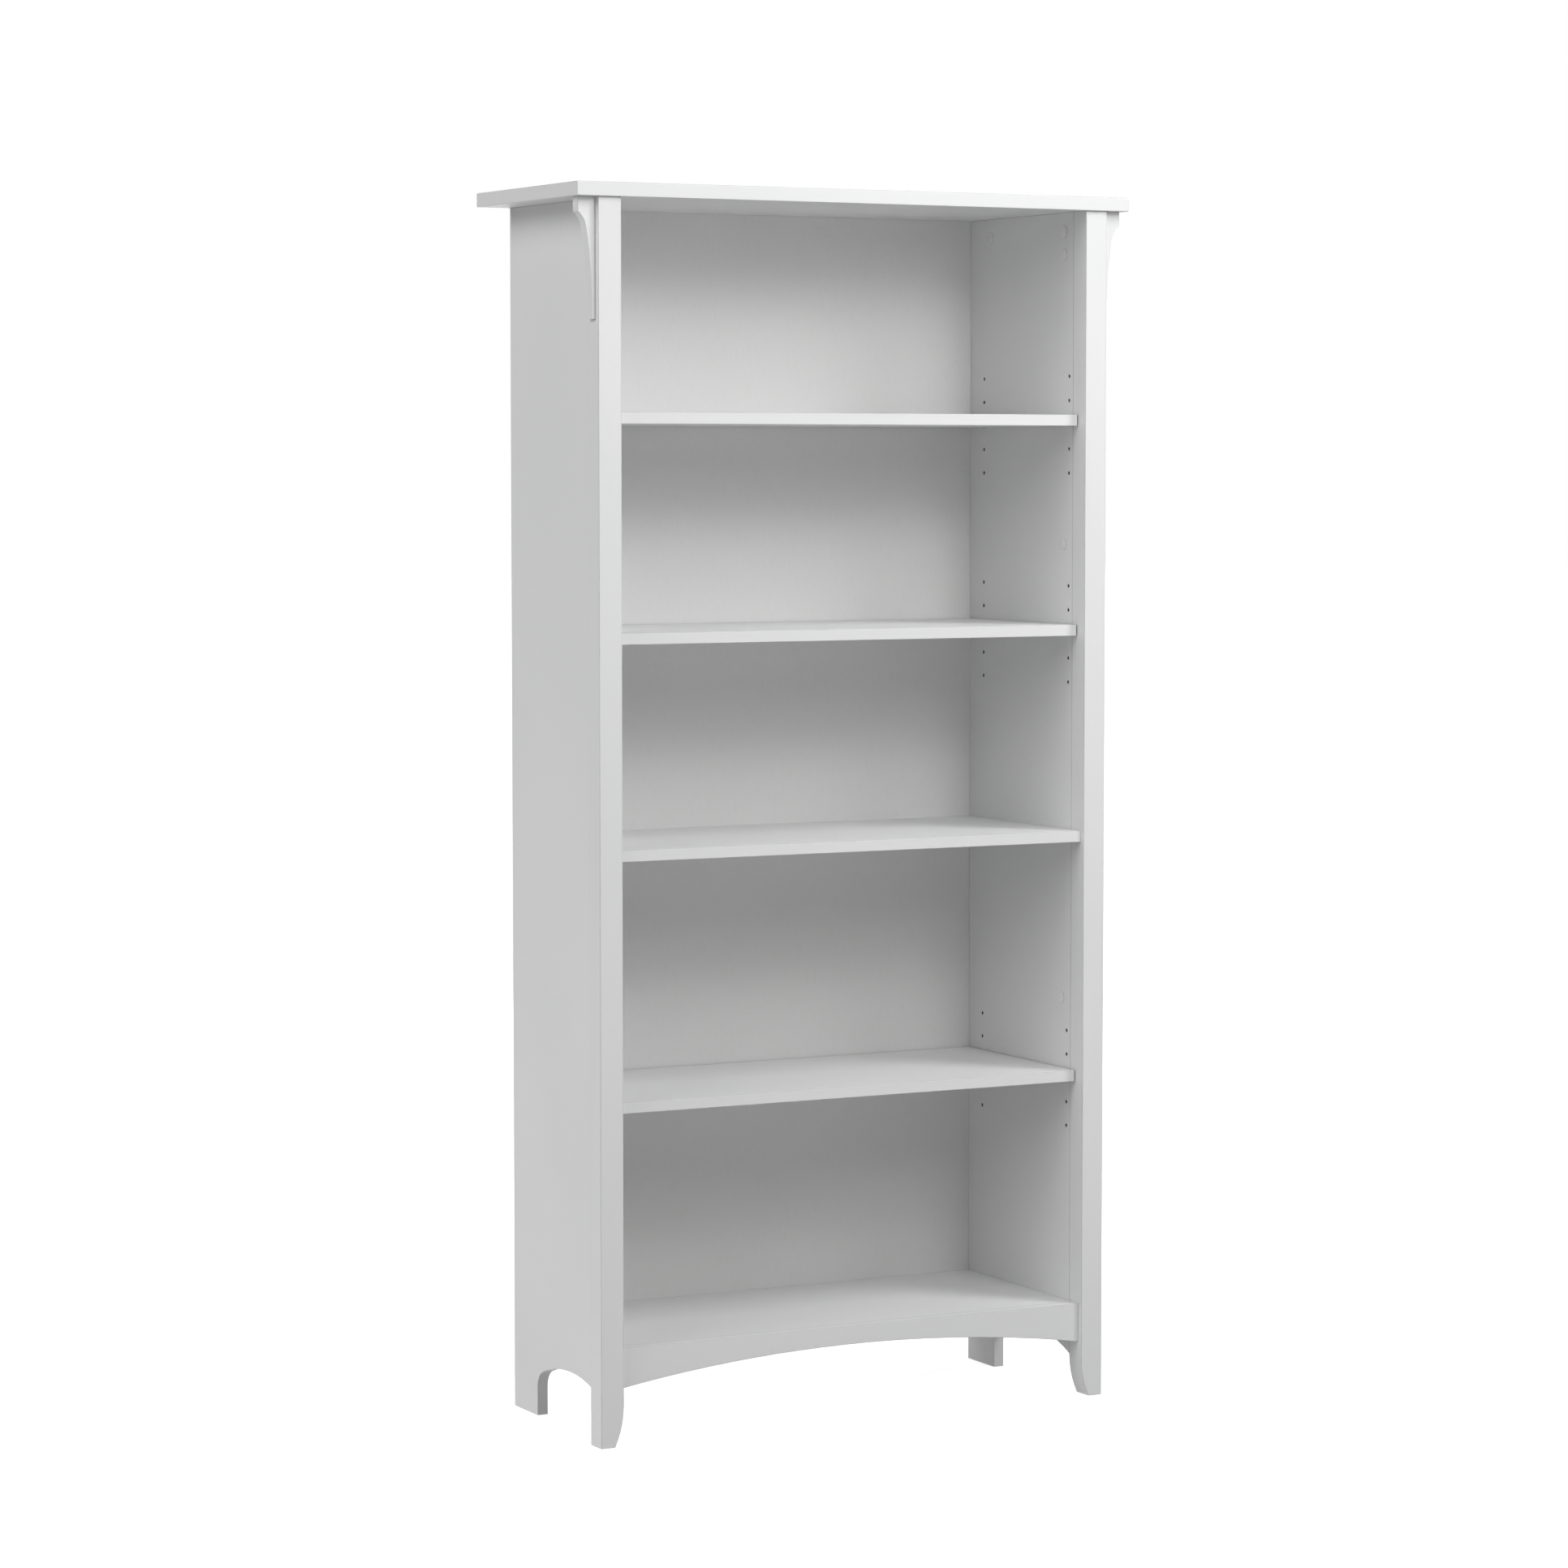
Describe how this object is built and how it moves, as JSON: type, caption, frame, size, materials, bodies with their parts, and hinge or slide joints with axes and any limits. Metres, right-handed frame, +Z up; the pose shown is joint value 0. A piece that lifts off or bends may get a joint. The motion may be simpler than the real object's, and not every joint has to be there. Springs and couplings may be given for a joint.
{
  "type": "bookcase with adjustable shelves",
  "caption": "Tall white open bookcase: overhanging top on curved corbels, square front posts, arched base, fixed middle shelf and adjustable shelves that pull out over their pins.",
  "frame": {"origin": "on the floor, at the centre of the outer box", "axes": "+X to the right as seen from the front, +Y to the back, +Z up"},
  "size_m": [0.804, 0.3096, 1.595],
  "materials": {
    "painted_board": "white satin paint on fibreboard, edges slightly eased",
    "painted_hardboard": "white painted hardboard, faintly mottled",
    "pin_steel": "bright zinc plate",
    "zinc": "die-cast zinc, matt",
    "bolt_steel": "zinc plated steel",
    "nail_steel": "plain wire nail",
    "beech": "bare beech",
    "cover_plastic": "white moulded plastic, satin"
  },
  "bodies": {
    "case": {"apron_cam_bolts": "bolt_steel", "apron_cam_locks": "zinc", "apron_dowels": "beech", "back_panel_nails": "nail_steel", "bottom_shelf": "painted_board", "bottom_shelf_cam_bolts": "bolt_steel", "bottom_shelf_cam_locks": "zinc", "bottom_shelf_dowels": "beech", "cam_covers": "cover_plastic", "corbel_dowels": "beech", "fixed_middle_shelf": "painted_board", "fixed_shelf_cam_bolts": "bolt_steel", "fixed_shelf_cam_locks": "zinc", "fixed_shelf_dowels": "beech", "front_apron": "painted_board", "left_corbel": "painted_board", "left_front_stile": "painted_board", "left_side_panel": "painted_board", "lower_back_panel": "painted_hardboard", "lower_front_left_shelf_pin": "pin_steel", "lower_front_right_shelf_pin": "pin_steel", "lower_rear_left_shelf_pin": "pin_steel", "lower_rear_right_shelf_pin": "pin_steel", "right_corbel": "painted_board", "right_front_stile": "painted_board", "right_side_panel": "painted_board", "second_front_left_shelf_pin": "pin_steel", "second_front_right_shelf_pin": "pin_steel", "second_rear_left_shelf_pin": "pin_steel", "second_rear_right_shelf_pin": "pin_steel", "stile_cam_bolts": "bolt_steel", "stile_cam_locks": "zinc", "stile_dowels": "beech", "top_board": "painted_board", "top_cam_bolts": "bolt_steel", "top_cam_locks": "zinc", "top_dowels": "beech", "upper_back_panel": "painted_hardboard", "upper_front_left_shelf_pin": "pin_steel", "upper_front_right_shelf_pin": "pin_steel", "upper_rear_left_shelf_pin": "pin_steel", "upper_rear_right_shelf_pin": "pin_steel"},
    "upper_shelf": {"upper_adjustable_shelf": "painted_board"},
    "second_shelf": {"second_adjustable_shelf": "painted_board"},
    "lower_shelf": {"lower_adjustable_shelf": "painted_board"}
  },
  "joints": [
    {"name": "upper_shelf_pull_out", "type": "slide", "parent": "case", "child": "upper_shelf", "axis": [0, -1, 0], "range_m": [0, 0.31]},
    {"name": "second_shelf_pull_out", "type": "slide", "parent": "case", "child": "second_shelf", "axis": [0, -1, 0], "range_m": [0, 0.31]},
    {"name": "lower_shelf_pull_out", "type": "slide", "parent": "case", "child": "lower_shelf", "axis": [0, -1, 0], "range_m": [0, 0.31]}
  ]
}
